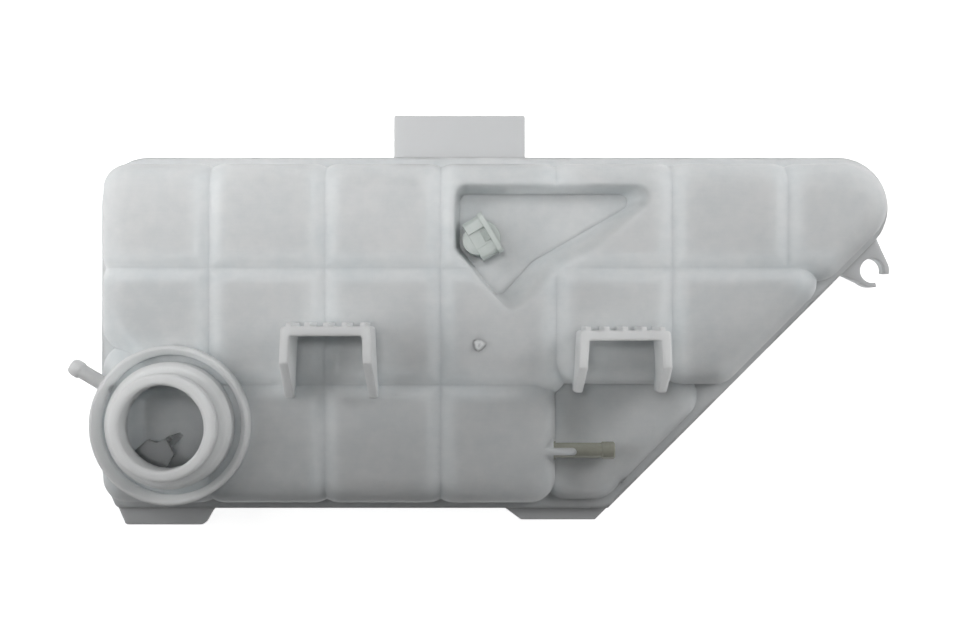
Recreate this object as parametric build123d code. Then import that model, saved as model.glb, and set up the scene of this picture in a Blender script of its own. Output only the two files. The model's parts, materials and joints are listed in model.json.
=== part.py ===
from build123d import *
import math
import os

os.makedirs("parts", exist_ok=True)

# Pressurised coolant tank of natural polypropylene: two quilted half shells, hot-plate welded round a flange.
# It lies flat with its filler neck up. Heights are measured from the weld plane, and each finished piece is
# raised by the depth of the rear shell, so that the rear cells stand on Z = 0.

# Flange outline in plan
flange_length = 391
flange_height = 174.25
flange_thickness = 3
flange_ledge = 4.5
corner_radius = 23
end_radius = 24.75
slant_angle = 45
heel_height = 16.5
heel_setback = 11.1
outline_blend = 4
plate_corner = 1

# Mounting tab and feet, moulded with the rear shell
tab_height = 21.5
tab_width = 65.5
tab_left = 145.1
tab_drop = 0.5
foot_height = 8.75
left_foot_width = 39.5
left_foot_flare = 4.9
right_foot_height = 6.2
right_foot_left = 208.6
right_foot_lead = 8.5

# Shell depths and walls
front_depth = 26
rear_depth = 28
wall = 2.5
rib_thickness = 2.5

# Quilted cells: the last cell of each row ends at the slanted edge and runs this far along its lower side
first_column = 53.5
even_columns = 3
nose_run = 27.9
slanted_run = 27.25
recess_run = 25.1
top_row = 51.25
row_pitch = 56.25
crest_radius = 12.5
groove_depth = 1.8
cavity_chamfer = 7
cavity_corner = 6.5
diagonal_start = 31.75
diagonal_corner = 14

# Low cell beside the return nipple
recess_depth = 9
recess_crest = 6
recess_chamfer = 3

# Flow notches through the baffles, at the weld plane
notch_width = 12
notch_height = 5
notch_margin = 8

# Filler neck, cup and channel round it, above the weld plane
neck_right = 41
neck_above = 43.6
bore_radius = 19.8
lip_radius = 25.1
lip_height = 4.5
lip_chamfer = 1
thread_root = 23.7
neck_top = 48
neck_root = 36.5
neck_bore_end = 33.5
shoulder_radius = 30
shoulder_edge = 2
cup_inner_radius = 33.5
cup_inner_top = 29
cup_rim = 34
cup_radius = 37.8
cup_root_radius = 36.3
cup_skirt = 26
channel_floor = 24
rim_flat = 1.6
bell_clearance = 2.8
bell_bevel = 2

# Overflow nipple of the cup
overflow_angle = 149.3
overflow_reach = 55.5
overflow_height = 27.2
overflow_radius = 3.5
overflow_bore = 2
overflow_barb = 4.1
overflow_tip = 3.2
barb_length = 6
barb_slope = 0.8
barb_land = 3.5

# Hood brackets on the front shell
bracket_width = 41
bracket_wall = 4
bracket_shelf = 4.5
bracket_rise = 27
bracket_splay = 1.4
bracket_taper = 17
bracket_end = 5
bracket_corner = 1.8
left_bracket_x = -77.9
left_bracket_y = -2.9
left_cheek_length = 34
right_bracket_x = 59.1
right_bracket_y = -4.9
right_cheek_length = 29.5
gusset_count = 5
gusset_width = 2.4
gusset_depth = 1.8
gusset_margin = 3.5

# Return nipple insert, its boss and the fin over it
nipple_y = -63.3
nipple_z = 17
nipple_radius = 3.65
nipple_bore = 2.2
nipple_reach = 28.7
nipple_collar = 4.2
nipple_collar_length = 6
nipple_flange = 5.5
nipple_flange_length = 1.5
nipple_seat = 4.3
nipple_boss = 6.4
nipple_boss_length = 12
seat_clearance = 0.1
fin_length = 9.7
fin_width = 3.3
fin_height = 3

# Gate nub
gate_x = -7.4
gate_y = -12
gate_radius = 1.3
gate_height = 1.2

# Sensor pocket in the front shell
pocket_floor = 8
pocket_left = -17.5
pocket_top = 62
pocket_right = 76
pocket_bend = (18, 28.5)
pocket_tip = (2, 10.5)
pocket_side = 36
pocket_corner = 4
rim_left = -20.5
rim_top = 65.5
rim_right = 88
rim_bend = (25, 16)
rim_tip = (8, 2)
rim_side = 33
rim_corner = 7
pocket_profile = ((0, 0), (0.12, 0.04), (0.7, 0.56), (0.9, 0.8), (1, 1))

# Level sensor: connector over the pocket floor, stem below it
sensor_x = -6.2
sensor_y = 40
sensor_heading = 31
sensor_boss = 8.5
sensor_boss_end = 2
sensor_hole = 6.2
sensor_neck = 6
sensor_flange = 9
sensor_flange_height = 2
socket_width = 20
socket_length = 11
socket_height = 13
socket_rim = 0.8
socket_rim_length = 2.4
socket_corner = 2
back_radius = 7
back_inset = 2.5
back_step = 1.5
mouth_width = 16
mouth_height = 9
mouth_depth = 8
mouth_corner = 1
latch_width = 8
latch_depth = 1.4
latch_ramp = 3
latch_ramp_width = 5.4
stem_radius = 4
stem_bore = 2.5
stem_bottom_wall = 1.5

# Contacts and reed switch in the stem
blade_width = 2.8
blade_thickness = 0.6
blade_inner = 1.35
blade_reach = 1.5
blade_root = 2
leg_width = 1
reed_radius = 1.1
reed_length = 13
reed_top = -4
reed_lead = 1.5
reed_lead_radius = 0.3
reed_end_bevel = 0.7

# Square-section sealing ring and its groove
seal_section = 1.5
seal_play = 0.05
seal_groove_width = 2
seal_z = 5

# Float, its magnet and its stop
float_radius = 11
float_height = 10
float_play = 0.6
float_travel = 12
magnet_inner = 5.4
magnet_outer = 8
magnet_height = 3
stop_radius = 6.5
stop_thickness = 1
stop_groove = 0.6
stop_play = 0.05
stop_gap = 3.4
stop_above_end = 1
float_gap = 0.3

# Level tab inside the tank, seen through the open neck
level_tab_z = 1
level_tab_thickness = 2.5
level_tab_corner = 1
level_tab_outline = ((-27, -17), (-20, -24), (-9, -24), (-5, -17), (-9, -9.5), (-14, -11), (-18, -9.5))
level_rib_thickness = 2.5
level_rib_length = 30
level_rib_middle = (-19, -20)
level_rib_turn = 45

# Outlet spigot of the rear shell
outlet_y = -60
outlet_z = -15.5
outlet_radius = 8
outlet_bore = 5.75
outlet_reach = 34
outlet_bead = 0.8
outlet_bead_length = 5
outlet_bead_bevel = 0.7

# Hose clip on the slanted edge
clip_from_nose_x = 18.1
clip_from_nose_y = -31.25
clip_radius = 6.15
clip_wall = 2.3
clip_height = 9
clip_mouth_start = -76
clip_mouth_end = -12
clip_strut = 3.4
clip_web = 3
clip_foot_sink = 1
clip_upper_foot_angle = -40
clip_upper_joint_angle = 28
clip_lower_joint_angle = 225

# Places worked out from the sizes above
overall_height = tab_height + flange_height + foot_height
flange_left = -flange_length / 2
flange_right = flange_length / 2
flange_top = overall_height / 2 - tab_height
flange_bottom = flange_top - flange_height
left_wall = flange_left + flange_ledge
top_wall = flange_top - flange_ledge
bottom_wall = flange_bottom + flange_ledge
row_lines = [top_wall - top_row, top_wall - top_row - row_pitch]
slant_cos = math.cos(math.radians(slant_angle))
slant_sin = math.sin(math.radians(slant_angle))
nose_x = flange_right - end_radius
nose_y = flange_top - end_radius
slant_offset = nose_x * slant_sin - nose_y * slant_cos + end_radius
seam = crest_radius - math.sqrt(crest_radius**2 - (crest_radius - groove_depth) ** 2)
neck_x = left_wall + neck_right - flange_ledge
neck_y = flange_bottom + neck_above
weld_shift = Pos(0, 0, rear_depth)


def slant_x(y, inset=0):
    """X of the slanted edge at a height in plan, moved inwards by a distance."""
    return (slant_offset - inset + y * slant_cos) / slant_sin


row_ends = zip((bottom_wall, row_lines[1], row_lines[0]), (recess_run, slanted_run, nose_run))
last_lines = [slant_x(y, flange_ledge) - run for y, run in row_ends]
first_line = left_wall + first_column
column_pitch = (last_lines[0] - first_line) / even_columns
column_lines = [first_line + i * column_pitch for i in range(even_columns)] + last_lines


def grown(points, moves):
    """Counter-clockwise polygon with each side moved outwards by its own distance."""
    sides = []
    for i, start in enumerate(points):
        end = points[(i + 1) % len(points)]
        along = (end[0] - start[0], end[1] - start[1])
        length = math.hypot(*along)
        base = (start[0] + along[1] / length * moves[i], start[1] - along[0] / length * moves[i])
        sides.append((base, along))
    corners = []
    for i, (base, along) in enumerate(sides):
        last_base, last_along = sides[i - 1]
        cross = last_along[0] * along[1] - last_along[1] * along[0]
        gap = (base[0] - last_base[0], base[1] - last_base[1])
        share = (gap[0] * along[1] - gap[1] * along[0]) / cross
        corners.append((last_base[0] + last_along[0] * share, last_base[1] + last_along[1] * share))
    return corners


def point_towards(start, end, distance):
    """Point at a distance from the start of a line."""
    share = distance / math.dist(start, end)
    return start[0] + (end[0] - start[0]) * share, start[1] + (end[1] - start[1]) * share


def plan_face(points, radii):
    """Flat face with its corners rounded, each by its own radius."""
    return make_face(FilletPolyline(*points, radius=radii, close=True))


def block(points, radii, height):
    """Plan outline raised to a height above the weld plane."""
    return extrude(plan_face(points, radii), height)


def top_edges(solid):
    """Edges round the highest face."""
    return solid.faces().sort_by(Axis.Z)[-1].edges()


def round_bar(start, direction, length, radius):
    """Cylinder that starts at a point and runs along a direction."""
    circle = Plane(origin=start, z_dir=direction) * Circle(radius)
    return extrude(circle, length)


# A cell is its plan corners, counter-clockwise, the kind of each side, an outer wall or a seam with a
# neighbour, and the radii of the corners that have their own. A corner beside an outer wall is a ball corner.
def rectangle_cell(left, bottom, right, top, kinds, own_radii=None):
    """Rectangular cell with the kinds of its bottom, right, top and left sides."""
    return [(left, bottom), (right, bottom), (right, top), (left, top)], kinds, own_radii or {}


def corner_radii(cell, inset):
    """Corner radii of a cell's outline, moved inwards by a distance: sharp between seams."""
    points, kinds, own_radii = cell
    radii = []
    for i in range(len(points)):
        ball = crest_radius if "wall" in (kinds[i - 1], kinds[i]) else 0
        radii.append(max(own_radii.get(i, ball) - inset, 0))
    return radii


def pillow(cell, depth, crest):
    """Outside of a cell: a block with ball corners, pushed over its seams so that neighbours meet in a V."""
    points, kinds, own_radii = cell
    outline = grown(points, [0 if kind == "wall" else seam for kind in kinds])
    body = block(outline, corner_radii(cell, 0), depth)
    return fillet(top_edges(body), crest)


def cavity(cell, depth, chamfer_size):
    """Inside of a cell, a wall in from its outer sides and half a rib in from its seams.

    Its corners are cut flat, apart from the acute ones, which stay round.
    """
    points, kinds, own_radii = cell
    outline = grown(points, [-wall if kind == "wall" else -rib_thickness / 2 for kind in kinds])
    radii = corner_radii(cell, wall)
    plan = []
    plan_radii = []
    for i, corner in enumerate(outline):
        before = outline[i - 1]
        after = outline[(i + 1) % len(outline)]
        turn = math.dist(before, corner) ** 2 + math.dist(corner, after) ** 2 - math.dist(before, after) ** 2
        if radii[i] > 0 and turn < wall:
            plan.append(point_towards(corner, before, cavity_corner))
            plan.append(point_towards(corner, after, cavity_corner))
            plan_radii.extend([0, 0])
        else:
            plan.append(corner)
            plan_radii.append(radii[i])
    body = block(plan, plan_radii, depth - wall)
    return chamfer(top_edges(body), chamfer_size)


def filler_cells(front):
    """Cells under the neck and above it. In the front shell a diagonal groove parts them."""
    upper, lower = row_lines
    x = column_lines[0]
    if not front:
        above = rectangle_cell(left_wall, lower, x, upper, ("seam", "seam", "seam", "wall"))
        below = rectangle_cell(left_wall, bottom_wall, x, lower, ("wall", "seam", "seam", "wall"))
        return below, above
    y = lower + diagonal_start
    above = [(left_wall + diagonal_start, lower), (x, lower), (x, upper), (left_wall, upper), (left_wall, y)]
    below = [(left_wall, bottom_wall), (x, bottom_wall), (x, y - (x - left_wall)), (left_wall, y)]
    above_kinds = ("seam", "seam", "seam", "wall", "seam")
    return (below, ("wall", "seam", "seam", "wall"), {3: diagonal_corner}), (above, above_kinds, {})


def quilt_cells():
    """Cells that both shells share: all but the two at the neck."""
    x = column_lines
    upper, lower = row_lines
    cells = [rectangle_cell(left_wall, upper, x[0], top_wall, ("seam", "seam", "wall", "wall"))]
    for left, right in zip(x, x[1:]):
        cells.append(rectangle_cell(left, upper, right, top_wall, ("seam", "seam", "wall", "seam")))
    nose = [(x[5], upper), (slant_x(upper, flange_ledge), upper), (slant_x(top_wall, flange_ledge), top_wall)]
    nose_kinds = ("seam", "wall", "wall", "seam")
    cells.append((nose + [(x[5], top_wall)], nose_kinds, {2: end_radius - flange_ledge}))
    seams = ("seam", "seam", "seam", "seam")
    for left, right in zip(x[:2], x[1:3]):
        cells.append(rectangle_cell(left, lower, right, upper, seams))
    cells.append(rectangle_cell(x[2], lower, x[3], upper, seams, {1: crest_radius}))
    cells.append(rectangle_cell(x[3], lower, x[4], upper, ("wall", "seam", "seam", "seam")))
    slanted = [(x[4], lower), (slant_x(lower, flange_ledge), lower), (slant_x(upper, flange_ledge), upper)]
    cells.append((slanted + [(x[4], upper)], ("wall", "wall", "seam", "seam"), {}))
    for left, right in zip(x[:2], x[1:3]):
        cells.append(rectangle_cell(left, bottom_wall, right, lower, ("wall", "seam", "seam", "seam")))
    cells.append(rectangle_cell(x[2], bottom_wall, x[3], lower, ("wall", "wall", "seam", "seam")))
    return cells


def recess_cell():
    """Low cell between the last full cell and the slanted edge."""
    lower = row_lines[1]
    points = [
        (column_lines[3], bottom_wall),
        (slant_x(bottom_wall, flange_ledge), bottom_wall),
        (slant_x(lower, flange_ledge), lower),
        (column_lines[3], lower),
    ]
    return points, ("wall", "wall", "seam", "seam"), {}


def notch_bar(left, bottom, right, top):
    """Bar that cuts a flow notch into both sides of the weld plane."""
    return Pos((left + right) / 2, (bottom + top) / 2, 0) * Box(right - left, top - bottom, 2 * notch_height)


def flow_notches(front):
    """Bars that cut the flow notches through the baffles along each row and column."""
    half = notch_width / 2
    row_edges = [top_wall] + row_lines + [bottom_wall]
    bar_ends = [column_lines[5] + notch_margin, column_lines[4] + notch_margin, column_lines[3] - notch_margin]
    bars = []
    for high, low, end in zip(row_edges, row_edges[1:], bar_ends):
        middle = (high + low) / 2
        bars.append(notch_bar(left_wall + notch_margin, middle - half, end, middle + half))
    column_edges = [left_wall] + column_lines
    full_columns = even_columns + 2 if front else even_columns + 1
    for i, (left, right) in enumerate(zip(column_edges, column_edges[1:])):
        middle = (left + right) / 2
        low = bottom_wall if i < full_columns else row_lines[1]
        bars.append(notch_bar(middle - half, low + notch_margin, middle + half, top_wall - notch_margin))
    nose_left = column_lines[5] + rib_thickness
    bars.append(notch_bar(nose_left, row_lines[0] - half, nose_left + notch_width, row_lines[0] + half))
    return bars


def flange_corners():
    """Corners at the lower left, shared by both flanges: the heel's start and its slope in plan."""
    heel_y = flange_bottom + heel_height
    foot_y = flange_bottom - foot_height
    slope = heel_setback / (heel_y - foot_y)
    return heel_y, foot_y, slope


def front_flange():
    """Flange plate of the front shell."""
    heel_y, foot_y, slope = flange_corners()
    points = [
        (flange_left, flange_top),
        (flange_left, heel_y),
        (flange_left + slope * (heel_y - flange_bottom), flange_bottom),
        (slant_x(flange_bottom), flange_bottom),
        (slant_x(flange_top), flange_top),
    ]
    radii = [corner_radius, corner_radius, outline_blend, plate_corner, end_radius]
    return block(points, radii, flange_thickness)


def rear_flange():
    """Flange plate of the rear shell with the tab and both feet."""
    heel_y, foot_y, slope = flange_corners()
    right_foot_y = flange_bottom - right_foot_height
    tab_x = flange_left + tab_left
    foot_end = flange_left + heel_setback + left_foot_width
    right_foot_x = flange_left + right_foot_left
    corners = [
        (flange_left, flange_top, corner_radius),
        (flange_left, heel_y, corner_radius),
        (flange_left + heel_setback, foot_y, outline_blend / 2),
        (foot_end, foot_y, outline_blend),
        (foot_end + left_foot_flare, flange_bottom, outline_blend),
        (right_foot_x - right_foot_lead, flange_bottom, outline_blend),
        (right_foot_x, right_foot_y, outline_blend / 2),
        (slant_x(right_foot_y), right_foot_y, plate_corner),
        (slant_x(flange_top), flange_top, end_radius),
        (tab_x + tab_width, flange_top, plate_corner),
        (tab_x + tab_width, flange_top + tab_height, plate_corner),
        (tab_x, flange_top + tab_height, plate_corner),
        (tab_x, flange_top, plate_corner),
    ]
    points = [(x, y) for x, y, radius in corners]
    radii = [radius for x, y, radius in corners]
    plate = block(points, radii, flange_thickness)
    tab_middle = Pos(tab_x + tab_width / 2, flange_top + tab_height / 2, 0)
    plate -= tab_middle * Box(tab_width, tab_height, 2 * tab_drop)
    return mirror(plate, Plane.XY)


def neck_revolve(profile):
    """Solid of revolution about the neck's axis, from (radius, height) points."""
    face = make_face(Plane.XZ * Polyline(*profile, close=True))
    return Pos(neck_x, neck_y, 0) * revolve(face, Axis.Z)


def neck_outside():
    """Tower, cup rim, channel, shoulder and neck as one solid without its bore."""
    lip_base = neck_top - lip_height
    tower = [
        (0, 0),
        (cup_root_radius, 0),
        (cup_root_radius, channel_floor),
        (cup_radius, cup_skirt),
        (cup_radius, cup_rim - rim_flat / 2),
        (cup_radius - rim_flat / 2, cup_rim),
        (cup_radius - rim_flat, cup_rim),
        (cup_inner_radius, cup_inner_top),
        (cup_inner_radius, channel_floor),
        (shoulder_radius, channel_floor),
        (shoulder_radius, neck_root - shoulder_edge),
        (shoulder_radius - shoulder_edge, neck_root),
        (thread_root, neck_root),
        (thread_root, lip_base - (lip_radius - thread_root)),
        (lip_radius, lip_base),
        (lip_radius, neck_top - lip_chamfer),
        (lip_radius - lip_chamfer, neck_top),
        (0, neck_top),
    ]
    return neck_revolve(tower)


def neck_inside():
    """Bore of the neck, the bell under it and the well of the tower."""
    bell = shoulder_radius - bell_clearance
    ceiling = channel_floor - wall
    well = cup_root_radius - wall
    bore = [
        (0, 0),
        (well, 0),
        (well, ceiling - bell_bevel),
        (well - bell_bevel, ceiling),
        (bell, ceiling),
        (bell, neck_bore_end - bell_bevel),
        (bell - bell_bevel, neck_bore_end),
        (bore_radius, neck_bore_end),
        (bore_radius, neck_top - lip_chamfer),
        (bore_radius + lip_chamfer, neck_top),
        (0, neck_top),
    ]
    return neck_revolve(bore)


def cup_keepout():
    """Room that the cells' cavities leave for the cup's floor and wall."""
    height = neck_top - channel_floor + wall
    low = channel_floor - wall
    return Pos(neck_x, neck_y, low + height / 2) * Cylinder(cup_root_radius, height)


def overflow_direction():
    """Unit vector along the overflow nipple, away from the neck."""
    turn = math.radians(overflow_angle)
    return math.cos(turn), math.sin(turn), 0


def overflow_nipple():
    """Nipple that drains the cup, with its barb."""
    root = (cup_inner_radius + cup_radius) / 2
    profile = [
        (0, root),
        (overflow_radius, root),
        (overflow_radius, overflow_reach - barb_length),
        (overflow_barb, overflow_reach - barb_length + barb_slope),
        (overflow_barb, overflow_reach - barb_length + barb_slope + barb_land),
        (overflow_tip, overflow_reach),
        (0, overflow_reach),
    ]
    face = make_face(Plane.XZ * Polyline(*profile, close=True))
    upright = revolve(face, Axis.Z)
    along = Plane(origin=(neck_x, neck_y, overflow_height), z_dir=overflow_direction())
    return along.location * upright


def overflow_passage():
    """Bore of the overflow nipple, from the channel to the tip."""
    dx, dy, dz = overflow_direction()
    inner = (cup_inner_radius + shoulder_radius) / 2
    start = (neck_x + dx * inner, neck_y + dy * inner, overflow_height)
    return round_bar(start, (dx, dy, dz), overflow_reach, overflow_bore)


def hood_bracket(centre_x, shelf_y, cheek_length):
    """Inverted U hood, open downwards in plan and to the front, with gussets on its shelf."""
    half = bracket_width / 2
    low = shelf_y - cheek_length
    outline = [
        (centre_x - half, shelf_y, bracket_corner),
        (centre_x - half - bracket_splay, low, bracket_corner / 2),
        (centre_x - half - bracket_splay + bracket_wall, low, bracket_corner / 2),
        (centre_x - half + bracket_wall, shelf_y - bracket_shelf, bracket_corner / 2),
        (centre_x + half - bracket_wall, shelf_y - bracket_shelf, bracket_corner / 2),
        (centre_x + half + bracket_splay - bracket_wall, low, bracket_corner / 2),
        (centre_x + half + bracket_splay, low, bracket_corner / 2),
        (centre_x + half, shelf_y, bracket_corner),
    ]
    points = [(x, y) for x, y, radius in outline]
    radii = [radius for x, y, radius in outline]
    root = front_depth - crest_radius / 2
    top = front_depth + bracket_rise
    hood = Pos(0, 0, root) * block(points, radii, top - root)
    taper = [
        (shelf_y - bracket_taper, top),
        (low, front_depth + bracket_end),
        (low - bracket_wall, front_depth + bracket_end),
        (low - bracket_wall, top + bracket_wall),
        (shelf_y - bracket_taper, top + bracket_wall),
    ]
    face = make_face(Plane.YZ * Polyline(*taper, close=True))
    wedge = Pos(centre_x, 0, 0) * extrude(face, bracket_width, both=True)
    hood -= wedge
    span = bracket_width - 2 * gusset_margin
    for i in range(gusset_count):
        x = centre_x - span / 2 + span * i / (gusset_count - 1)
        side = [
            (shelf_y - bracket_shelf / 2, root),
            (shelf_y + gusset_depth, root),
            (shelf_y + gusset_depth, top - gusset_depth),
            (shelf_y, top),
            (shelf_y - bracket_shelf / 2, top),
        ]
        gusset = extrude(make_face(Plane.YZ * Polyline(*side, close=True)), gusset_width / 2, both=True)
        hood += Pos(x, 0, 0) * gusset
    return hood


def pocket(depth_floor, growth):
    """Sensor pocket as a solid to cut, grown by a distance for the walls round it."""
    floor_points = [
        pocket_tip,
        pocket_bend,
        (pocket_right, pocket_top),
        (pocket_left, pocket_top),
        (pocket_left, pocket_side),
    ]
    rim_points = [rim_tip, rim_bend, (rim_right, rim_top), (rim_left, rim_top), (rim_left, rim_side)]
    sections = []
    for rise, spread in pocket_profile:
        points = []
        for low, high in zip(floor_points, rim_points):
            points.append((low[0] + (high[0] - low[0]) * spread, low[1] + (high[1] - low[1]) * spread))
        radius = pocket_corner + (rim_corner - pocket_corner) * spread + growth
        outline = plan_face(grown(points, [growth] * len(points)), [radius] * len(points))
        sections.append(Pos(0, 0, depth_floor + (front_depth - depth_floor) * rise) * outline)
    return loft(sections, ruled=True)


def nipple_start():
    """X of the wall that the return nipple leaves."""
    return column_lines[3]


def make_front_shell():
    """Front shell with everything that is moulded on it."""
    filler, above = filler_cells(front=True)
    cells = [above] + quilt_cells()
    outside = front_flange() + (neck_outside() + pillow(filler, front_depth, crest_radius))
    for cell in cells:
        outside += pillow(cell, front_depth, crest_radius)
    outside += pillow(recess_cell(), recess_depth, recess_crest)
    outside -= pocket(pocket_floor, 0)
    outside += overflow_nipple()
    outside += hood_bracket(left_bracket_x, left_bracket_y, left_cheek_length)
    outside += hood_bracket(right_bracket_x, right_bracket_y, right_cheek_length)
    fin_z = nipple_z + nipple_seat + seat_clearance
    fin_run = fin_length - fin_width / 2
    fin_root = Pos(nipple_start() + (fin_run - crest_radius) / 2, nipple_y)
    fin = fin_root * Rectangle(fin_run + crest_radius, fin_width)
    fin += Pos(nipple_start() + fin_run, nipple_y) * Circle(fin_width / 2)
    outside += Pos(0, 0, fin_z) * extrude(fin, fin_height)
    outside += Pos(gate_x, gate_y, front_depth + gate_height / 2) * Cylinder(gate_radius, gate_height)

    inside = cavity(filler, front_depth, cavity_chamfer)
    for cell in cells:
        inside += cavity(cell, front_depth, cavity_chamfer)
    inside += cavity(recess_cell(), recess_depth, recess_chamfer)
    for bar in flow_notches(front=True):
        inside += bar
    inside -= pocket(pocket_floor - wall, wall)
    inside -= cup_keepout()
    inside += neck_inside()
    shell = outside - inside

    boss_start = (nipple_start() - nipple_boss_length, nipple_y, nipple_z)
    shell += round_bar(boss_start, (1, 0, 0), nipple_boss_length - wall / 2, nipple_boss)
    shell -= round_bar(boss_start, (1, 0, 0), nipple_boss_length, nipple_seat + seat_clearance)
    sensor_height = pocket_floor - sensor_boss_end
    boss_middle = Pos(sensor_x, sensor_y, sensor_boss_end + sensor_height / 2)
    shell += boss_middle * Cylinder(sensor_boss, sensor_height)
    shell -= Pos(sensor_x, sensor_y, pocket_floor) * Cylinder(sensor_hole, front_depth)
    shell -= overflow_passage()
    return shell


def level_tab():
    """Uneven tab under the neck and the rib that carries it."""
    outline = [(neck_x + x, neck_y + y) for x, y in level_tab_outline]
    plate = Pos(0, 0, level_tab_z) * block(outline, [level_tab_corner] * len(outline), level_tab_thickness)
    depth = rear_depth - wall + level_tab_z
    middle = Pos(neck_x + level_rib_middle[0], neck_y + level_rib_middle[1], level_tab_z - depth / 2)
    rib = middle * Rot(0, 0, level_rib_turn) * Box(level_rib_length, level_rib_thickness, depth)
    return plate + rib


def clip_point(centre, radius, angle):
    """Point on a circle round a centre in plan."""
    turn = math.radians(angle)
    return centre[0] + radius * math.cos(turn), centre[1] + radius * math.sin(turn)


def hose_clip():
    """C-shaped hose clip with its two struts and the thin web behind it."""
    centre = (nose_x + clip_from_nose_x, nose_y + clip_from_nose_y)
    outer = clip_radius + clip_wall
    ring = Pos(*centre) * Circle(outer)
    upper_foot = clip_point((nose_x, nose_y), end_radius - clip_foot_sink, clip_upper_foot_angle)
    upper_joint = clip_point(centre, outer - clip_strut / 2, clip_upper_joint_angle)
    lower_foot = (slant_x(row_lines[0], clip_foot_sink), row_lines[0])
    lower_joint = clip_point(centre, outer - clip_strut / 2, clip_lower_joint_angle)
    struts = []
    for foot, joint in ((upper_foot, upper_joint), (lower_foot, lower_joint)):
        along = math.degrees(math.atan2(joint[1] - foot[1], joint[0] - foot[0]))
        length = math.hypot(joint[0] - foot[0], joint[1] - foot[1])
        middle = ((foot[0] + joint[0]) / 2, (foot[1] + joint[1]) / 2)
        struts.append(Pos(*middle) * Rot(0, 0, along) * Rectangle(length + clip_strut / 2, clip_strut))
    web = make_face(Polyline(upper_foot, lower_foot, lower_joint, centre, upper_joint, close=True))
    tall = ring + struts[0] + struts[1]
    clip = extrude(tall, clip_height) + extrude(web, clip_web)
    clip -= Pos(*centre) * Cylinder(clip_radius, 3 * clip_height)
    far = 2 * outer
    start = clip_point(centre, far, clip_mouth_start)
    end = clip_point(centre, far, clip_mouth_end)
    mouth = make_face(Polyline(centre, start, end, close=True))
    clip -= extrude(mouth, clip_height)
    return mirror(clip, Plane.XY)


def make_rear_shell():
    """Rear shell with the tab, feet, hose clip and outlet spigot."""
    cells = list(filler_cells(front=False)) + quilt_cells()
    outside = pillow(cells[0], rear_depth, crest_radius)
    for cell in cells[1:]:
        outside += pillow(cell, rear_depth, crest_radius)
    outside = mirror(outside, Plane.XY)
    outside += rear_flange()
    inside = cavity(cells[0], rear_depth, cavity_chamfer)
    for cell in cells[1:]:
        inside += cavity(cell, rear_depth, cavity_chamfer)
    for bar in flow_notches(front=False):
        inside += bar
    root = (nipple_start() - crest_radius, outlet_y, outlet_z)
    outside += round_bar(root, (1, 0, 0), outlet_reach + crest_radius, outlet_radius)
    bead_x = nipple_start() + outlet_reach - outlet_bead_length
    bead = round_bar((bead_x, outlet_y, outlet_z), (1, 0, 0), outlet_bead_length, outlet_radius + outlet_bead)
    outside += chamfer(bead.edges(), outlet_bead_bevel)
    shell = outside - mirror(inside, Plane.XY)
    shell -= round_bar(root, (1, 0, 0), outlet_reach + 2 * crest_radius, outlet_bore)
    shell += level_tab()
    shell += hose_clip()
    return shell


def make_return_nipple():
    """Hose insert with its inner flange and end collar."""
    start = nipple_start() - nipple_boss_length
    reach = nipple_boss_length + nipple_reach
    collar = reach - nipple_collar_length
    bevel = nipple_collar - nipple_radius
    profile = [
        (nipple_bore, -nipple_flange_length),
        (nipple_flange, -nipple_flange_length),
        (nipple_flange, 0),
        (nipple_seat, 0),
        (nipple_seat, nipple_boss_length),
        (nipple_radius, nipple_boss_length),
        (nipple_radius, collar - bevel),
        (nipple_collar, collar),
        (nipple_collar, reach - bevel),
        (nipple_radius, reach),
        (nipple_bore, reach),
    ]
    tube = revolve(make_face(Plane.XZ * Polyline(*profile, close=True)), Axis.Z)
    along = Plane(origin=(start, nipple_y, nipple_z), z_dir=(1, 0, 0))
    return along.location * tube


def ring_solid(inner, outer, height, low):
    """Flat ring standing on a height."""
    ring = Cylinder(outer, height) - Cylinder(inner, height)
    return Pos(0, 0, low + height / 2) * ring


def centred_box(x0, x1, width, z0, z1):
    """Box from x0 to x1 and z0 to z1, centred on the sensor's plane of symmetry."""
    return Pos((x0 + x1) / 2, 0, (z0 + z1) / 2) * Box(x1 - x0, width, z1 - z0)


# The sensor is built round its stem's axis with its connector along +X, then turned and set in the pocket.
sensor_place = Pos(sensor_x, sensor_y, 0) * Rot(0, 0, sensor_heading)
socket_low = pocket_floor + sensor_flange_height
socket_high = socket_low + socket_height
socket_front = socket_length / 2
socket_rear = -socket_length / 2
mouth_low = socket_low + (socket_height - mouth_height) / 2
blade_z = mouth_low + mouth_height / 2
seal_inner = sensor_hole - seal_play - seal_section
float_low = sensor_boss_end - float_gap - float_travel - float_height
stop_low = float_low - float_gap - stop_thickness
stem_end = stop_low - stop_above_end
reed_bottom = reed_top - reed_length


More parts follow.
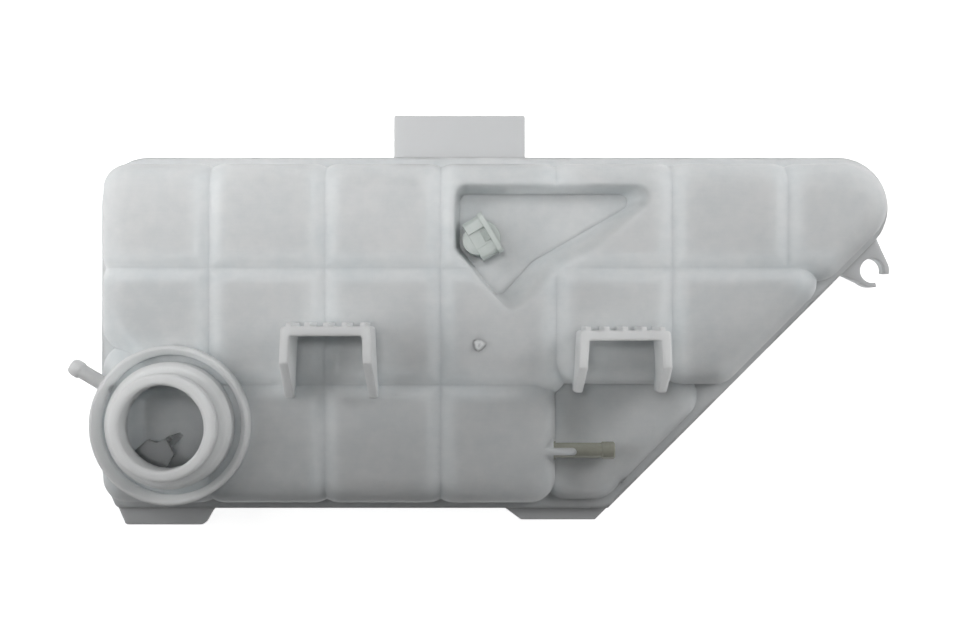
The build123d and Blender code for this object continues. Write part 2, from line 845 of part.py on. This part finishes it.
def make_sensor_housing():
    """Connector shell, sealing neck and hollow stem in one moulding."""
    body = centred_box(socket_rear, socket_front, socket_width, socket_low, socket_high)
    body = fillet(body.edges().filter_by(Axis.X), socket_corner)
    back_height = socket_height - back_step
    back_middle = Pos(socket_rear + back_inset, 0, socket_low + back_height / 2)
    body += back_middle * Cylinder(back_radius, back_height)
    rim = centred_box(
        socket_front - socket_rim_length,
        socket_front,
        socket_width + 2 * socket_rim,
        socket_low,
        socket_high + socket_rim,
    )
    body += fillet(rim.edges().filter_by(Axis.X), socket_corner)
    slot_end = socket_front - socket_rim_length
    slot_start = socket_rear + back_inset - back_radius
    slot_low = socket_high - latch_depth
    body -= centred_box(slot_start, slot_end, latch_width, slot_low, slot_low + 2 * latch_depth)
    ramp = [
        (slot_end, slot_low),
        (slot_end - latch_ramp, slot_low),
        (slot_end, socket_high),
    ]
    body += extrude(make_face(Plane.XZ * Polyline(*ramp, close=True)), latch_ramp_width / 2, both=True)
    body += Pos(0, 0, pocket_floor + sensor_flange_height / 2) * Cylinder(sensor_flange, sensor_flange_height)
    neck_length = pocket_floor - sensor_boss_end
    body += Pos(0, 0, pocket_floor - neck_length / 2) * Cylinder(sensor_neck, neck_length)
    stem_length = pocket_floor - stem_end
    body += Pos(0, 0, stem_end + stem_length / 2) * Cylinder(stem_radius, stem_length)

    mouth_end = socket_front - mouth_depth
    mouth = centred_box(mouth_end, socket_front, mouth_width, mouth_low, mouth_low + mouth_height)
    body -= fillet(mouth.edges().filter_by(Axis.X), mouth_corner)
    bore_low = stem_end + stem_bottom_wall
    bore_length = blade_z - bore_low
    body -= Pos(0, 0, bore_low + bore_length / 2) * Cylinder(stem_bore, bore_length)
    groove = seal_inner - seal_play
    body -= ring_solid(groove, sensor_flange, seal_groove_width, seal_z - seal_groove_width / 2)
    stop_slot = stop_thickness + 2 * stop_play
    body -= ring_solid(stem_radius - stop_groove, stop_radius, stop_slot, stop_low - stop_play)
    low = blade_z - blade_thickness / 2
    for side in (-1, 1):
        slot = centred_box(mouth_end - blade_root, mouth_end, blade_width, low, low + blade_thickness)
        body -= Pos(0, side * (blade_inner + blade_width / 2), 0) * slot
    return sensor_place * body


def make_terminal(side, leg_end):
    """Contact blade with a leg down the stem that hooks under or over the reed switch's lead."""
    low = blade_z - blade_thickness / 2
    high = blade_z + blade_thickness / 2
    root = socket_front - mouth_depth - blade_root
    blade = centred_box(root, socket_front - blade_reach, blade_width, low, high)
    terminal = Pos(0, side * (blade_inner + blade_width / 2), 0) * blade
    leg = Box(leg_width, blade_thickness, high - leg_end)
    terminal += Pos(0, side * (blade_inner + blade_thickness / 2), (high + leg_end) / 2) * leg
    hook_width = blade_inner + blade_thickness
    hook = Box(leg_width, hook_width, blade_thickness)
    terminal += Pos(0, side * hook_width / 2, leg_end + blade_thickness / 2) * hook
    return sensor_place * terminal


def make_reed_switch():
    """Glass capsule with rounded ends and its two leads."""
    capsule = Pos(0, 0, (reed_top + reed_bottom) / 2) * Cylinder(reed_radius, reed_length)
    capsule = chamfer(capsule.edges(), reed_end_bevel)
    lead_length = reed_length + 2 * reed_lead
    capsule += Pos(0, 0, (reed_top + reed_bottom) / 2) * Cylinder(reed_lead_radius, lead_length)
    return sensor_place * capsule


def make_seal():
    """Sealing ring round the sensor's neck."""
    low = seal_z - seal_section / 2
    return sensor_place * ring_solid(seal_inner, seal_inner + seal_section, seal_section, low)


def make_float():
    """Foam ring with a seat for the magnet in its top."""
    body = ring_solid(stem_radius + float_play, float_radius, float_height, float_low)
    body -= ring_solid(magnet_inner, magnet_outer, magnet_height, float_low + float_height - magnet_height)
    return sensor_place * body


def make_float_magnet():
    """Ring magnet in the float's seat."""
    low = float_low + float_height - magnet_height
    inner = magnet_inner + seat_clearance
    return sensor_place * ring_solid(inner, magnet_outer - seat_clearance, magnet_height, low)


def make_float_stop():
    """Open clip in the groove near the stem's end."""
    ring = ring_solid(stem_radius - stop_groove + stop_play, stop_radius, stop_thickness, stop_low)
    ring -= Pos(stop_radius, 0, stop_low) * Box(2 * stop_radius, stop_gap, 4 * stop_thickness)
    return sensor_place * ring


pieces = {
    "upper_shell": make_front_shell(),
    "lower_shell": make_rear_shell(),
    "return_nipple": make_return_nipple(),
    "sensor_housing": make_sensor_housing(),
    "sensor_seal": make_seal(),
    "sensor_terminal_left": make_terminal(1, reed_top + reed_lead),
    "sensor_terminal_right": make_terminal(-1, reed_bottom - reed_lead - blade_thickness),
    "reed_switch": make_reed_switch(),
    "float": make_float(),
    "float_magnet": make_float_magnet(),
    "float_stop": make_float_stop(),
}
for name, piece in pieces.items():
    raised = weld_shift * piece
    export_step(raised, f"parts/{name}.step")
    print(name, len(raised.solids()), round(raised.volume))
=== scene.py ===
# Looks of a quilted coolant tank in natural polypropylene, lying on its rear cells and seen from above.
import bpy
import bmesh
import json
import math
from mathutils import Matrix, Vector


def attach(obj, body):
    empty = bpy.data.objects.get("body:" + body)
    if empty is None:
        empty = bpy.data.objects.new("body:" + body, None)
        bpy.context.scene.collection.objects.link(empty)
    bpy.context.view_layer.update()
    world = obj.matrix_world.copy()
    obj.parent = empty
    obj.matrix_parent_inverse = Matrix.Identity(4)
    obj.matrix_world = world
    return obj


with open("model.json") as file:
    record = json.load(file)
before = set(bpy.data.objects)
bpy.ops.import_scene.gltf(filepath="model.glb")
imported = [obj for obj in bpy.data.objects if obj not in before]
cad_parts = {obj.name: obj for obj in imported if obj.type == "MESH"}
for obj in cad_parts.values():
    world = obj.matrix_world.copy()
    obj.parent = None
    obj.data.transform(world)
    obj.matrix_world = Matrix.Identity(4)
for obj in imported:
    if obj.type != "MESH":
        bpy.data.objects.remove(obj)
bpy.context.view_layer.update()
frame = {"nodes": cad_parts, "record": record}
mm = 0.001
weldHeight = 28 * mm  # plane where the two half shells meet
crestHeight = weldHeight + 26 * mm  # top of the quilted cells
print("frame loaded:", len(frame["nodes"]), "nodes")


def linearColour(hexText):
    channels = [int(hexText[i:i + 2], 16) / 255 for i in (1, 3, 5)]
    return [c / 12.92 if c <= 0.04045 else ((c + 0.055) / 1.055) ** 2.4 for c in channels] + [1.0]


# Settings go to the node's sockets, by name or number, or else to its properties. A link is written
# socket: (node, output).
def addNode(tree, kind, settings, links):
    node = tree.nodes.new(kind)
    for name, value in settings.items():
        if isinstance(name, int) or name in node.inputs:
            node.inputs[name].default_value = value
        else:
            setattr(node, name, value)
    for name, (source, output) in links.items():
        tree.links.new(source.outputs[output], node.inputs[name])
    return node


def blankMaterial(name):
    material = bpy.data.materials.new(name)
    material.use_nodes = True
    material.node_tree.nodes.clear()
    return material, material.node_tree


# Natural polypropylene, injection moulded without pigment. It is milky: light soaks through the walls, so
# edges and free-standing ribs glow softly, shadows fill up, and broad cloudy patches show where the melt
# flowed. Rims, neck and brackets above the crests are also painted paler: a painted highlight.
polypropylene = {
    "colour": "#E9ECED",
    "cloudColour": "#DDE2E4",
    "paintedLightColour": "#F3F5F5",    # painted highlight: rims, neck and brackets stand in the light on both sides, so they are painted paler
    "highFrom": crestHeight + 0.2 * mm,  # height over the table
    "highFade": 1.0,            # mm of height over which the wall's colour gives way to it
    "cloudSize": 30,            # mm, broad cloudy patches
    "blotchSize": 7,            # mm, flow blotches
    "blotchShare": 0.42,        # of the patches, the rest is clouds
    "streakShare": 0.08,        # of the whole flow pattern
    "flowRange": (0.38, 0.62),  # part of the pattern that runs from one colour to the other
    "streakWidth": 1.1,         # mm, flow streaks, drawn out from the gate
    "streakLength": 14,         # mm
    "streakTurn": 38,           # degrees from the tank's length
    "grainSize": 0.9,           # mm, moulded skin: drawn coarser than the real 0.1 mm, so that it shows
    "grainDepth": 0.012,        # mm
    "waveDepth": 0.10,          # mm, slight sink between the ribs
    "highSoftness": 2.0,        # mm, rounding of rims and brackets
    "edgeSoftness": 6.0,        # mm, rounding of the cells' outer edges and of the pocket's rim
    "creaseSoftness": 0.6,      # mm, rounding at the bottom of grooves
    "creaseReach": 5.0,         # mm, how far from a crease its sharpness is felt
    "creaseShade": (0.80, 0.97),  # openness of the surface in a crease, and out of it
    "soak": 8.0,                # mm, how far light spreads in the wall
    "roughness": (0.41, 0.53),  # satin, a little glossier in the paler patches
    "ior": 1.49,
}
# The rear half is the same plastic. Its tab, feet and clip, at the weld plane, are painted greyer than the
# cells: painted shade.
rearPolypropylene = dict(polypropylene, paintedLightColour="#C5C6C7", highFrom=weldHeight - 4.2 * mm,
                         highSoftness=0.8)


def polypropyleneMaterial(name, look):
    material, tree = blankMaterial(name)
    place = addNode(tree, "ShaderNodeTexCoord", {}, {})
    clouds = addNode(tree, "ShaderNodeTexNoise", {"Scale": 1 / (look["cloudSize"] * mm), "Detail": 3.0},
                     {"Vector": (place, "Object")})
    blotches = addNode(tree, "ShaderNodeTexNoise",
                       {"Scale": 1 / (look["blotchSize"] * mm), "Detail": 5.0, "Roughness": 0.62},
                       {"Vector": (place, "Object")})
    drawnOut = addNode(tree, "ShaderNodeMapping",
                       {"Rotation": (0.0, 0.0, math.radians(look["streakTurn"])),
                        "Scale": (look["streakWidth"] / look["streakLength"], 1.0, 1.0)},
                       {"Vector": (place, "Object")})
    streaks = addNode(tree, "ShaderNodeTexNoise", {"Scale": 1 / (look["streakWidth"] * mm), "Detail": 2.0},
                      {"Vector": (drawnOut, "Vector")})
    patches = addNode(tree, "ShaderNodeMix", {"Factor": look["blotchShare"]},
                      {"A": (clouds, "Fac"), "B": (blotches, "Fac")})
    flow = addNode(tree, "ShaderNodeMix", {"Factor": look["streakShare"]},
                   {"A": (patches, "Result"), "B": (streaks, "Fac")})
    flowLow, flowHigh = look["flowRange"]
    spread = addNode(tree, "ShaderNodeMapRange", {"From Min": flowLow, "From Max": flowHigh},
                     {"Value": (flow, "Result")})
    wallColour = addNode(tree, "ShaderNodeMix",
                         {"data_type": "RGBA", 6: linearColour(look["colour"]),
                          7: linearColour(look["cloudColour"])},
                         {0: (spread, "Result")})
    height = addNode(tree, "ShaderNodeSeparateXYZ", {}, {"Vector": (place, "Object")})
    # Painted light by height: above highFrom the wall's colour gives way to the painted light colour, a
    # painted highlight on the front half and a painted shade on the rear half's plates. The same height mask
    # sets the rounding.
    raisedPaintedLight = addNode(tree, "ShaderNodeMapRange",
                   {"From Min": look["highFrom"], "From Max": look["highFrom"] + look["highFade"] * mm},
                   {"Value": (height, "Z")})
    colour = addNode(tree, "ShaderNodeMix", {"data_type": "RGBA", 7: linearColour(look["paintedLightColour"])},
                     {0: (raisedPaintedLight, "Result"), 6: (wallColour, 2)})
    creases = addNode(tree, "ShaderNodeAmbientOcclusion",
                      {"samples": 3, "Distance": look["creaseReach"] * mm}, {})
    creased, clear = look["creaseShade"]
    wallSoftness = addNode(tree, "ShaderNodeMapRange",
                           {"From Min": creased, "From Max": clear, "To Min": look["creaseSoftness"] * mm,
                            "To Max": look["edgeSoftness"] * mm}, {"Value": (creases, "AO")})
    softness = addNode(tree, "ShaderNodeMix", {3: look["highSoftness"] * mm},
                       {0: (raisedPaintedLight, "Result"), 2: (wallSoftness, "Result")})
    edge = addNode(tree, "ShaderNodeBevel", {"samples": 4}, {"Radius": (softness, "Result")})
    waves = addNode(tree, "ShaderNodeBump", {"Distance": look["waveDepth"] * mm},
                    {"Height": (clouds, "Fac"), "Normal": (edge, "Normal")})
    grain = addNode(tree, "ShaderNodeTexNoise", {"Scale": 1 / (look["grainSize"] * mm), "Detail": 2.0},
                    {"Vector": (place, "Object")})
    skin = addNode(tree, "ShaderNodeBump", {"Distance": look["grainDepth"] * mm},
                   {"Height": (grain, "Fac"), "Normal": (waves, "Normal")})
    smoothest, roughest = look["roughness"]
    gloss = addNode(tree, "ShaderNodeMapRange", {"To Min": smoothest, "To Max": roughest},
                    {"Value": (flow, "Result")})
    shader = addNode(tree, "ShaderNodeBsdfPrincipled",
                     {"IOR": look["ior"], "Subsurface Weight": 1.0, "Subsurface Scale": look["soak"] * mm,
                      "Subsurface Radius": (1.0, 1.0, 1.0)},
                     {"Base Color": (colour, 2), "Roughness": (gloss, "Result"), "Normal": (skin, "Normal")})
    addNode(tree, "ShaderNodeOutputMaterial", {}, {"Surface": (shader, "BSDF")})
    return material


# Solid materials: two tones in patches, a fine skin and softly rounded edges.
def solidMaterial(name, look):
    material, tree = blankMaterial(name)
    place = addNode(tree, "ShaderNodeTexCoord", {}, {})
    patches = addNode(tree, "ShaderNodeTexNoise", {"Scale": 1 / (look["patchSize"] * mm), "Detail": 4.0},
                      {"Vector": (place, "Object")})
    colour = addNode(tree, "ShaderNodeMix",
                     {"data_type": "RGBA", 6: linearColour(look["colour"]),
                      7: linearColour(look["darkColour"])},
                     {0: (patches, "Fac")})
    edge = addNode(tree, "ShaderNodeBevel", {"samples": 6, "Radius": look["edgeSoftness"] * mm}, {})
    skin = addNode(tree, "ShaderNodeBump", {"Distance": look["skinDepth"] * mm},
                   {"Height": (patches, "Fac"), "Normal": (edge, "Normal")})
    shader = addNode(tree, "ShaderNodeBsdfPrincipled",
                     {"Roughness": look["roughness"], "IOR": look["ior"], "Metallic": look["metallic"],
                      "Subsurface Weight": float(look["soak"] > 0), "Subsurface Scale": look["soak"] * mm,
                      "Subsurface Radius": (1.0, 1.0, 1.0)},
                     {"Base Color": (colour, 2), "Normal": (skin, "Normal")})
    addNode(tree, "ShaderNodeOutputMaterial", {}, {"Surface": (shader, "BSDF")})
    return material


def dress(material, *nodeNames):
    for nodeName in nodeNames:
        target = frame["nodes"][nodeName]
        if not target.material_slots:
            target.data.materials.append(material)
        for materialSlot in target.material_slots:
            materialSlot.material = material


shellPlastic = polypropyleneMaterial("naturalPolypropyleneMoulded", polypropylene)
dress(shellPlastic, "upper_shell")
dress(polypropyleneMaterial("naturalPolypropyleneMouldedRear", rearPolypropylene), "lower_shell")

nylon = {"ior": 1.53, "metallic": 0.0}
plainSolid = {"ior": 1.5, "metallic": 0.0, "soak": 0.0}
bareMetal = {"ior": 1.5, "metallic": 1.0, "soak": 0.0}

# Sizes, depths and softness of these are in mm.
# Glass-filled nylon, moulded: fibres near the skin give it a faint tan fleck and a satin sheen.
tanNylon = dict(nylon, colour="#A8A89C", darkColour="#96968A", patchSize=1.6, skinDepth=0.01,
                edgeSoftness=0.4, roughness=0.26, soak=0.0)
dress(solidMaterial("glassFilledNylonMoulded", tanNylon), "return_nipple")

# Natural nylon, moulded: slightly green and a little glossier than the tank, with light in its edges.
sensorNylon = dict(nylon, colour="#CBD1CE", darkColour="#BCC4C0", patchSize=5, skinDepth=0.02,
                   edgeSoftness=0.4, roughness=0.34, soak=1.5)
dress(solidMaterial("naturalNylonMoulded", sensorNylon), "sensor_housing")

# Ethylene rubber, moulded: dull black.
sealRubber = dict(plainSolid, colour="#1E1E1F", darkColour="#161617", patchSize=2, skinDepth=0.02,
                  edgeSoftness=0.3, roughness=0.6)
dress(solidMaterial("ethyleneRubberMoulded", sealRubber), "sensor_seal")

# Tinned brass, stamped: a warm grey shine.
contactBrass = dict(bareMetal, colour="#C9C4B4", darkColour="#B6B1A2", patchSize=1.5, skinDepth=0.004,
                    edgeSoftness=0.1, roughness=0.3)
dress(solidMaterial("tinnedBrassStamped", contactBrass), "sensor_terminal_left", "sensor_terminal_right")

# Reed glass, drawn: a smooth greenish capsule.
reedGlass = dict(plainSolid, colour="#A9B8A4", darkColour="#8FA18C", patchSize=2, skinDepth=0.002,
                 edgeSoftness=0.2, roughness=0.08, soak=0.6)
dress(solidMaterial("reedGlassDrawn", reedGlass), "reed_switch")

# Nitrile foam, moulded in a closed skin: black, with fine pores.
floatFoam = dict(plainSolid, colour="#242425", darkColour="#19191A", patchSize=1.2, skinDepth=0.08,
                 edgeSoftness=0.5, roughness=0.8)
dress(solidMaterial("nitrileFoamMoulded", floatFoam), "float")

# Ferrite, pressed and fired: dark grey and slightly grainy.
ferrite = dict(plainSolid, colour="#3A3A3C", darkColour="#2E2E30", patchSize=0.8, skinDepth=0.02,
               edgeSoftness=0.3, roughness=0.55)
dress(solidMaterial("ferritePressed", ferrite), "float_magnet")

# Stainless steel, stamped: a plain cool shine.
stopSteel = dict(bareMetal, colour="#B9BABB", darkColour="#A5A6A8", patchSize=1.5, skinDepth=0.004,
                 edgeSoftness=0.1, roughness=0.28)
dress(solidMaterial("stainlessSteelStamped", stopSteel), "float_stop")
print("materials made")


def addPiece(name, vertices, faces, material):
    mesh = bpy.data.meshes.new(name)
    mesh.from_pydata(vertices, [], faces)
    form = bmesh.new()
    form.from_mesh(mesh)
    bmesh.ops.recalc_face_normals(form, faces=form.faces)
    form.to_mesh(mesh)
    form.free()
    mesh.materials.append(material)
    for face in mesh.polygons:
        face.use_smooth = True
    piece = bpy.data.objects.new(name, mesh)
    bpy.context.scene.collection.objects.link(piece)
    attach(piece, "tank")
    return piece


# Coarse thread under the neck's lip: one low ridge that runs out at both ends.
neckThread = {
    "rootRadius": 23.5,   # mm
    "crestRadius": 25.0,
    "rootWidth": 2.2,
    "crestWidth": 0.9,
    "start": 65.6,        # mm over the table
    "rise": 2.6,          # mm in a turn
    "turns": 1.35,
    "runOut": 0.08,       # share of the length in which it runs out, at each end
    "endHeight": 0.05,    # share of the ridge left at its very end, before the run-out is rounded
    "steps": 150,
}


def makeNeckThread(look):
    neck = next(mount for mount in frame["record"]["mounts"] if mount["name"] == "filler_neck")
    centre = Vector(neck["pos_m"])
    vertices, faces = [], []
    for step in range(look["steps"] + 1):
        share = step / look["steps"]
        full = min(1.0, share / look["runOut"], (1 - share) / look["runOut"])
        full = math.sqrt(max(full, look["endHeight"]))
        turn = 2 * math.pi * look["turns"] * share
        middle = look["start"] + look["rise"] * look["turns"] * share
        crest = look["rootRadius"] + (look["crestRadius"] - look["rootRadius"]) * full
        profile = [(look["rootRadius"], -look["rootWidth"] / 2), (crest, -look["crestWidth"] / 2),
                   (crest, look["crestWidth"] / 2), (look["rootRadius"], look["rootWidth"] / 2)]
        for radius, offset in profile:
            vertices.append((centre.x + radius * mm * math.cos(turn), centre.y + radius * mm * math.sin(turn),
                             (middle + offset * full) * mm))
    corners = len(profile)
    for step in range(look["steps"]):
        for side in range(corners):
            a, b = corners * step + side, corners * step + (side + 1) % corners
            faces.append((a, b, b + corners, a + corners))
    faces += [tuple(range(corners)), tuple(corners * look["steps"] + side for side in range(corners))]
    thread = addPiece("neck_thread", vertices, faces, shellPlastic)
    for face in thread.data.polygons:
        face.use_smooth = False


makeNeckThread(neckThread)

# Bead of plastic squeezed out where the two flanges were welded together.
weldBead = {"radius": 0.5, "inset": 0.15, "sides": 2}  # radius and inset in mm
stepsPerMetre = 1e5  # points of the flange in the same hundredth of a millimetre are one
levelNormal = 0.99  # how upright the normal of a level face is
planeSlack = 0.01 * mm  # how near the weld plane its middle lies


# Walks round the outer edge of the faces in the weld plane: an edge there belongs to one of them only.
def flangeOutline(shell):
    def roundedPoint(index):
        return tuple(round(c * stepsPerMetre) for c in shell.vertices[index].co)

    uses = {}
    for face in shell.polygons:
        if abs(face.normal.z) > levelNormal and abs(face.center.z - weldHeight) < planeSlack:
            corners = list(face.vertices)
            for a, b in zip(corners, corners[1:] + corners[:1]):
                pair = frozenset((roundedPoint(a), roundedPoint(b)))
                if len(pair) == 2:
                    uses[pair] = uses.get(pair, 0) + 1
    nextTo = {}
    for pair, count in uses.items():
        if count == 1:
            a, b = pair
            nextTo.setdefault(a, []).append(b)
            nextTo.setdefault(b, []).append(a)
    start = min(nextTo)  # the leftmost point is on the outer edge
    loop, here = [start], nextTo[start][0]
    while here != start:
        ahead = [point for point in nextTo[here] if point != loop[-1]]
        loop.append(here)
        here = ahead[0]
    return [Vector(point) / stepsPerMetre for point in loop]


def makeWeldBead(look):
    outline = flangeOutline(frame["nodes"]["upper_shell"].data)
    middle = sum(outline, Vector()) / len(outline)
    curve = bpy.data.curves.new("weld_bead", "CURVE")
    curve.dimensions = "3D"
    curve.bevel_depth = look["radius"] * mm
    curve.bevel_resolution = look["sides"]
    spline = curve.splines.new("POLY")
    spline.points.add(len(outline) - 1)
    for point, place in zip(spline.points, outline):
        inward = (middle - place).normalized() * look["inset"] * mm
        point.co = (place.x + inward.x, place.y + inward.y, weldHeight, 1.0)
    spline.use_cyclic_u = True
    curve.materials.append(shellPlastic)
    bead = bpy.data.objects.new("weld_bead", curve)
    bpy.context.scene.collection.objects.link(bead)
    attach(bead, "tank")
    print("weld bead runs through", len(outline), "points")


makeWeldBead(weldBead)

# The same plastic, torn: it whitens where it is broken, so the stub looks paler than the moulded skin.
tornPlastic = dict(plainSolid, colour="#F4F6F6", darkColour="#DFE3E4", patchSize=0.7, skinDepth=0.12,
                   edgeSoftness=0.15, roughness=0.55, ior=1.49, soak=3.0)

# Torn stub where the gate was broken off: a ragged flake on the crest of the middle cell.
gateStub = {
    "place": (-7.85, -11.96),    # mm
    "radius": 3.0,               # mm
    "height": 1.9,               # mm
    "rings": [(1.0, -0.1), (0.8, 0.3), (0.6, 0.85), (0.4, 1.0), (0.18, 0.8)],  # shares of radius and height
    "points": 22,
    "ragged": 0.2,               # share by which the radius wavers
    "dip": 0.2,                  # share by which the height wavers
    "broadWaves": 3,             # round the rim
    "broadStart": 0.7,           # radians
    "broadShare": 0.6,           # of the raggedness, the rest is in fine waves
    "fineWaves": 7,
    "dipWaves": 5,
    "dipTwist": 1.3,             # radians from ring to ring
}


def makeGateStub(look):
    x, y = look["place"]
    vertices, faces = [], []
    rings = look["rings"]
    for ring, (across, up) in enumerate(rings):
        for step in range(look["points"]):
            turn = 2 * math.pi * step / look["points"]
            rough = math.sin(look["broadWaves"] * turn + look["broadStart"]) * look["broadShare"]
            rough += math.sin(look["fineWaves"] * turn + ring) * (1 - look["broadShare"])
            uneven = math.sin(look["dipWaves"] * turn + look["dipTwist"] * ring)
            radius = look["radius"] * across * (1 + look["ragged"] * rough)
            lift = look["height"] * up * (1 + look["dip"] * uneven)
            vertices.append(((x + radius * math.cos(turn)) * mm, (y + radius * math.sin(turn)) * mm,
                             crestHeight + lift * mm))
    count = look["points"]
    for ring in range(len(rings) - 1):
        for step in range(count):
            a, b = ring * count + step, ring * count + (step + 1) % count
            faces.append((a, b, b + count, a + count))
    faces += [tuple(range(count)), tuple((len(rings) - 1) * count + step for step in range(count))]
    tornMaterial = solidMaterial("naturalPolypropyleneTorn", tornPlastic)
    addPiece("gate_stub", vertices, faces, tornMaterial)


makeGateStub(gateStub)
print("thread, weld bead and gate stub added")


# White table: it shows white to the camera and in reflections, and keeps the tank's shadow.
tableLook = {"size": 3.0, "colour": "#F2F2F2", "glow": 0.86, "drop": 0.1}  # metres, and mm under the tank


def makeTable(look):
    half = look["size"] / 2
    mesh = bpy.data.meshes.new("table")
    corners = [(-half, -half, 0), (half, -half, 0), (half, half, 0), (-half, half, 0)]
    mesh.from_pydata(corners, [], [(0, 1, 2, 3)])
    table = bpy.data.objects.new("table", mesh)
    bpy.context.scene.collection.objects.link(table)
    table.location.z = -look["drop"] * mm
    material, tree = blankMaterial("whiteTable")
    rays = addNode(tree, "ShaderNodeLightPath", {}, {})
    seen = addNode(tree, "ShaderNodeMath", {"operation": "MAXIMUM"},
                   {0: (rays, "Is Camera Ray"), 1: (rays, "Is Glossy Ray")})
    shown = addNode(tree, "ShaderNodeMath", {"operation": "MAXIMUM"},
                    {0: (seen, 0), 1: (rays, "Is Transmission Ray")})
    glow = addNode(tree, "ShaderNodeMath", {"operation": "MULTIPLY", 1: look["glow"]}, {0: (shown, 0)})
    base = addNode(tree, "ShaderNodeBsdfDiffuse", {"Color": linearColour(look["colour"])}, {})
    light = addNode(tree, "ShaderNodeEmission", {}, {"Strength": (glow, 0)})
    both = addNode(tree, "ShaderNodeAddShader", {}, {0: (base, "BSDF"), 1: (light, "Emission")})
    addNode(tree, "ShaderNodeOutputMaterial", {}, {"Surface": (both, "Shader")})
    mesh.materials.append(material)


makeTable(tableLook)

# Soft studio light: two flagged lamps, high up and at the neck's side, whose soft edges fall across the
# quilting so that the cells by the feet stay in half light. Faint wide lamps fill in from the tabbed edge,
# both ends and the slanted side, and three narrow ones reach into the open neck and the sensor pocket. An
# edge says where a lamp's light ends on the crests, and a fade how softly, in metres.
highLamp = {"place": (-0.10, 0.15, 0.85), "halfAngle": 80, "radius": 0.10, "power": 7.6,
            "edge": -0.064, "fade": 0.08}
lowLamp = {"place": (-0.45, 0.30, 0.60), "halfAngle": 80, "radius": 0.06, "power": 4.7,
           "edge": -0.06, "fade": 0.10}
neckLamp = {"place": (-0.03, -0.01, 0.62), "aim": (-0.157, -0.05, 0.05), "halfAngle": 2.4, "blend": 1.0,
            "radius": 0.03, "power": 5.0}
pocketLamp = {"place": (0.35, -0.25, 0.25), "aim": (0.018, 0.052, 0.045), "halfAngle": 5.5, "blend": 1.0,
              "radius": 0.06, "power": 2.6}
pocketWallLamp = {"place": (0.0, -0.45, 0.22), "aim": (0.035, 0.062, 0.046), "halfAngle": 4.2, "blend": 1.0,
                  "radius": 0.05, "power": 3.6}
tabSideLamp = {"place": (-0.05, 0.55, 0.22), "aim": (-0.02, 0.0, 0.04), "width": 0.6, "height": 0.15,
               "power": 0.15}
neckSideLamp = {"place": (-0.50, 0.05, 0.35), "aim": (-0.10, 0.0, 0.06), "width": 0.3, "height": 0.3,
                "power": 0.95}
noseSideLamp = {"place": (0.50, 0.25, 0.40), "aim": (0.10, 0.0, 0.05), "width": 0.3, "height": 0.3,
                "power": 1.5}
slantSideLamp = {"place": (0.38, -0.42, 0.20), "aim": (0.0, 0.0, 0.05), "width": 0.3, "height": 0.2,
                 "power": 0.15}
roomLight = 0.05


def placeLamp(data, look):
    lamp = bpy.data.objects.new(data.name, data)
    bpy.context.scene.collection.objects.link(lamp)
    lamp.location = look["place"]
    lamp.rotation_mode = "QUATERNION"
    lamp.rotation_quaternion = (Vector(look["aim"]) - Vector(look["place"])).to_track_quat("-Z", "Y")


def makeAreaLamp(name, look):
    data = bpy.data.lights.new(name, "AREA")
    data.shape = "RECTANGLE"
    data.size = look["width"]
    data.size_y = look["height"]
    data.energy = look["power"]
    placeLamp(data, look)


def makeSpot(name, look):
    data = bpy.data.lights.new(name, "SPOT")
    data.spot_size = math.radians(2 * look["halfAngle"])
    data.spot_blend = look["blend"]
    data.shadow_soft_size = look["radius"]
    data.energy = look["power"]
    placeLamp(data, look)


# The flag's edge is the rim of a very wide cone, tipped so that it crosses the crests where the light ends.
def flagged(look):
    x, y, z = look["place"]
    drop = z - crestHeight
    outer = math.atan2(y - look["edge"], drop)
    inner = math.atan2(y - look["edge"] - look["fade"], drop)
    half = math.radians(look["halfAngle"])
    aim = (x, y + drop * math.tan(half - outer), crestHeight)
    blend = (math.cos(half - outer + inner) - math.cos(half)) / (1 - math.cos(half))
    return dict(look, aim=aim, blend=blend)


makeSpot("highLamp", flagged(highLamp))
makeSpot("lowLamp", flagged(lowLamp))
makeSpot("neckLamp", neckLamp)
makeSpot("pocketLamp", pocketLamp)
makeSpot("pocketWallLamp", pocketWallLamp)
makeAreaLamp("tabSideLamp", tabSideLamp)
makeAreaLamp("neckSideLamp", neckSideLamp)
makeAreaLamp("noseSideLamp", noseSideLamp)
makeAreaLamp("slantSideLamp", slantSideLamp)
world = bpy.data.worlds.new("studio")
bpy.context.scene.world = world
world.use_nodes = True
world.node_tree.nodes.clear()
worldRays = addNode(world.node_tree, "ShaderNodeLightPath", {}, {})
worldLevel = addNode(world.node_tree, "ShaderNodeMapRange", {"To Min": roomLight, "To Max": 1.0},
                     {"Value": (worldRays, "Is Camera Ray")})
worldGlow = addNode(world.node_tree, "ShaderNodeBackground", {"Color": linearColour("#FFFFFF")},
                    {"Strength": (worldLevel, "Result")})
addNode(world.node_tree, "ShaderNodeOutputWorld", {}, {"Surface": (worldGlow, "Background")})
print("table and lamps placed")

# Camera straight above the tank, as the photo was taken.
cameraLook = {"place": (-7.375 * mm, 0.0, 628 * mm), "lens": 45.0, "sensor": 36.0, "near": 10 * mm}
cameraData = bpy.data.cameras.new("camera")
cameraData.lens = cameraLook["lens"]
cameraData.sensor_width = cameraLook["sensor"]
cameraData.clip_start = cameraLook["near"]
camera = bpy.data.objects.new("camera", cameraData)
camera.location = cameraLook["place"]
bpy.context.scene.collection.objects.link(camera)
bpy.context.scene.camera = camera
bpy.context.scene.view_settings.view_transform = "Standard"
print("camera placed")
